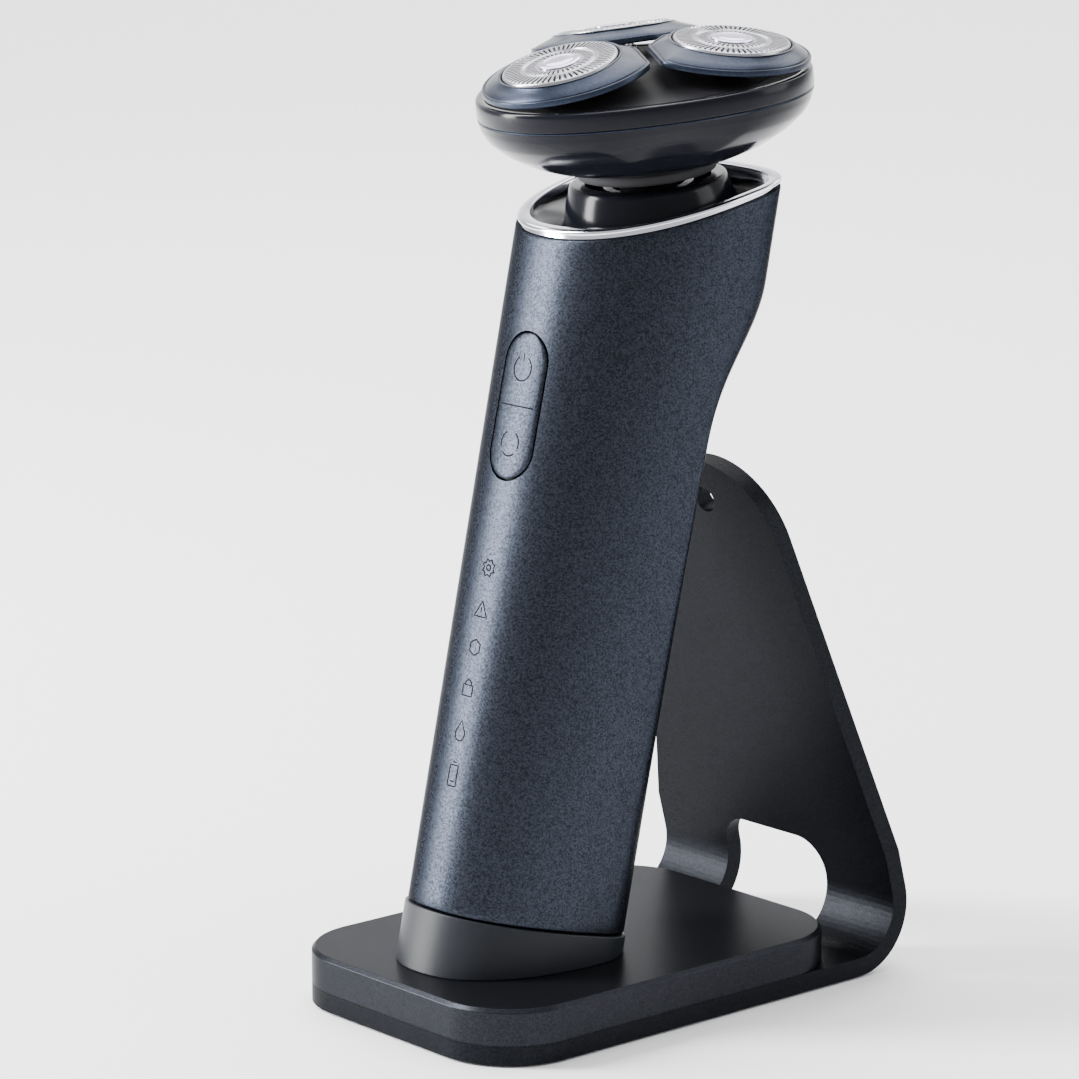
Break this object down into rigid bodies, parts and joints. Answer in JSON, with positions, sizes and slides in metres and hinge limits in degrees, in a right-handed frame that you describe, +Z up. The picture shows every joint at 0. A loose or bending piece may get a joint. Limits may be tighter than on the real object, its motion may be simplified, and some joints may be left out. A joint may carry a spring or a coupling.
{
  "type": "rotary shaver with charging stand",
  "caption": "Cordless rotary shaver with tilting cutting heads, standing in a bent metal charging stand.",
  "frame": {"origin": "centre of the stand's footprint, on the surface that it rests on", "axes": "+Z up, -Y towards the front with the button, +X to the right seen from the front"},
  "size_m": [0.064, 0.1024, 0.1806],
  "materials": {
    "stand_paint": "satin",
    "base_paint": "satin",
    "handle_metal": "satin",
    "collar_plastic": "matte",
    "inner_plastic": "matte",
    "rubber": "matte",
    "contact": "polished",
    "steel": "brushed",
    "board": "matte",
    "cell": "satin",
    "rim": "polished",
    "black_gloss": "gloss",
    "button": "gloss",
    "lens": "gloss",
    "gear_plastic": "satin",
    "pod": "satin",
    "cap": "polished"
  },
  "bodies": {
    "stand": {"stand_sheet": "stand_paint", "base_housing": "base_paint", "dock_collar": "collar_plastic", "dock_floor": "inner_plastic", "dock_spring_left": "steel", "dock_spring_right": "steel", "charge_board": "board", "charge_inlet": "inner_plastic", "base_feet": "rubber", "base_screws": "steel"},
    "pin_left": {"dock_pin_left": "contact"},
    "pin_right": {"dock_pin_right": "contact"},
    "handle": {"handle_shell": "handle_metal", "rim_trim": "rim", "deck": "black_gloss", "neck": "black_gloss", "neck_bearing": "contact", "inner_frame": "inner_plastic", "foot_cap": "collar_plastic", "foot_contacts": "contact", "foot_seal": "rubber", "battery_cell": "cell", "control_board": "board", "motor": "steel", "button_seal": "rubber", "button_switches": "steel", "display_lens": "lens"},
    "button": {"button": "button"},
    "motor_shaft": {"motor_driver": "steel"},
    "spindle": {"drive_spindle": "steel"},
    "gimbal": {"tilt_ring": "steel"},
    "mount": {"head_mount": "inner_plastic", "neck_seal": "rubber"},
    "head": {"head_bowl": "black_gloss", "head_ring": "black_gloss", "head_frame": "inner_plastic", "head_latch": "inner_plastic", "gear_cover": "black_gloss", "pod_spring_1": "steel", "pod_spring_2": "steel", "pod_spring_3": "steel"},
    "centre_wheel": {"centre_gear": "gear_plastic"},
    "wheel_1": {"cutter_gear_1": "gear_plastic"},
    "pod_body_1": {"pod_1": "pod", "guard_1": "steel", "guard_cap_1": "cap"},
    "blade_1": {"cutter_1": "steel"},
    "wheel_2": {"cutter_gear_2": "gear_plastic"},
    "pod_body_2": {"pod_2": "pod", "guard_2": "steel", "guard_cap_2": "cap"},
    "blade_2": {"cutter_2": "steel"},
    "wheel_3": {"cutter_gear_3": "gear_plastic"},
    "pod_body_3": {"pod_3": "pod", "guard_3": "steel", "guard_cap_3": "cap"},
    "blade_3": {"cutter_3": "steel"}
  },
  "joints": [
    {"name": "shaver_lift_off", "type": "slide", "parent": "stand", "child": "handle", "axis": [0, 0.2273, 0.9738], "range_m": [0, 0.12]},
    {"name": "dock_pin_left_press", "type": "slide", "parent": "stand", "child": "pin_left", "axis": [0, -0.2273, -0.9738], "range_m": [0, 0.0008], "stiffness_N_per_m": 400, "deforming": ["dock_spring_left"]},
    {"name": "dock_pin_right_press", "type": "slide", "parent": "stand", "child": "pin_right", "axis": [0, -0.2273, -0.9738], "range_m": [0, 0.0008], "stiffness_N_per_m": 400, "deforming": ["dock_spring_right"]},
    {"name": "button_rock", "type": "hinge", "parent": "handle", "child": "button", "pos_m": [0, -0.01881, 0.11305], "axis": [1, 0, 0], "range_deg": [-1.5, 1.5], "stiffness_Nm_per_rad": 2},
    {"name": "motor_spin", "type": "hinge", "parent": "handle", "child": "motor_shaft", "pos_m": [0, 0.01395, 0.14012], "axis": [0, 0.2273, 0.9738], "continuous": true},
    {"name": "spindle_spin", "type": "hinge", "parent": "handle", "child": "spindle", "pos_m": [0, 0.0121, 0.154], "axis": [0, -0.1323, 0.9912], "continuous": true},
    {"name": "head_fore_aft", "type": "hinge", "parent": "handle", "child": "gimbal", "pos_m": [0, 0.01258, 0.15043], "axis": [1, 0, 0], "range_deg": [-2, 2], "stiffness_Nm_per_rad": 0.6},
    {"name": "head_sideways", "type": "hinge", "parent": "gimbal", "child": "mount", "pos_m": [0, 0.01258, 0.15043], "axis": [0, 0.9912, 0.1323], "range_deg": [-2, 2], "stiffness_Nm_per_rad": 0.6},
    {"name": "head_pull_off", "type": "slide", "parent": "mount", "child": "head", "axis": [0, -0.1323, 0.9912], "range_m": [0, 0.04]},
    {"name": "centre_gear_spin", "type": "hinge", "parent": "head", "child": "centre_wheel", "pos_m": [0, 0.01012, 0.16887], "axis": [0, -0.1323, 0.9912], "continuous": true},
    {"name": "cutter_gear_1_spin", "type": "hinge", "parent": "head", "child": "wheel_1", "pos_m": [0, -0.00773, 0.16649], "axis": [0, -0.1323, 0.9912], "continuous": true},
    {"name": "pod_1_tilt", "type": "hinge", "parent": "head", "child": "pod_body_1", "pos_m": [0, -0.00823, 0.17117], "axis": [1, 0, 0], "range_deg": [-2, 2], "stiffness_Nm_per_rad": 0.3},
    {"name": "cutter_1_spin", "type": "hinge", "parent": "pod_body_1", "child": "blade_1", "pos_m": [0, -0.00844, 0.17184], "axis": [0, -0.294, 0.9558], "continuous": true},
    {"name": "cutter_gear_2_spin", "type": "hinge", "parent": "head", "child": "wheel_2", "pos_m": [0.01559, 0.01904, 0.17006], "axis": [0, -0.1323, 0.9912], "continuous": true},
    {"name": "pod_2_tilt", "type": "hinge", "parent": "head", "child": "pod_body_2", "pos_m": [0.01549, 0.01836, 0.17472], "axis": [-0.5, 0.8584, 0.1145], "range_deg": [-2, 2], "stiffness_Nm_per_rad": 0.3},
    {"name": "cutter_2_spin", "type": "hinge", "parent": "pod_body_2", "child": "blade_2", "pos_m": [0.01559, 0.01832, 0.17541], "axis": [0.1429, -0.0486, 0.9885], "continuous": true},
    {"name": "cutter_gear_3_spin", "type": "hinge", "parent": "head", "child": "wheel_3", "pos_m": [-0.01559, 0.01904, 0.17006], "axis": [0, -0.1323, 0.9912], "continuous": true},
    {"name": "pod_3_tilt", "type": "hinge", "parent": "head", "child": "pod_body_3", "pos_m": [-0.01549, 0.01836, 0.17472], "axis": [-0.5, -0.8584, -0.1145], "range_deg": [-2, 2], "stiffness_Nm_per_rad": 0.3},
    {"name": "cutter_3_spin", "type": "hinge", "parent": "pod_body_3", "child": "blade_3", "pos_m": [-0.01559, 0.01832, 0.17541], "axis": [-0.1429, -0.0486, 0.9885], "continuous": true}
  ],
  "couplings": [
    {"joint": "centre_gear_spin", "follows": "cutter_1_spin", "ratio": -1.1429},
    {"joint": "spindle_spin", "follows": "cutter_1_spin", "ratio": -1.1429},
    {"joint": "motor_spin", "follows": "cutter_1_spin", "ratio": -1.1429},
    {"joint": "cutter_gear_1_spin", "follows": "cutter_1_spin", "ratio": 1},
    {"joint": "cutter_gear_2_spin", "follows": "cutter_1_spin", "ratio": 1},
    {"joint": "cutter_2_spin", "follows": "cutter_1_spin", "ratio": 1},
    {"joint": "cutter_gear_3_spin", "follows": "cutter_1_spin", "ratio": 1},
    {"joint": "cutter_3_spin", "follows": "cutter_1_spin", "ratio": 1}
  ]
}
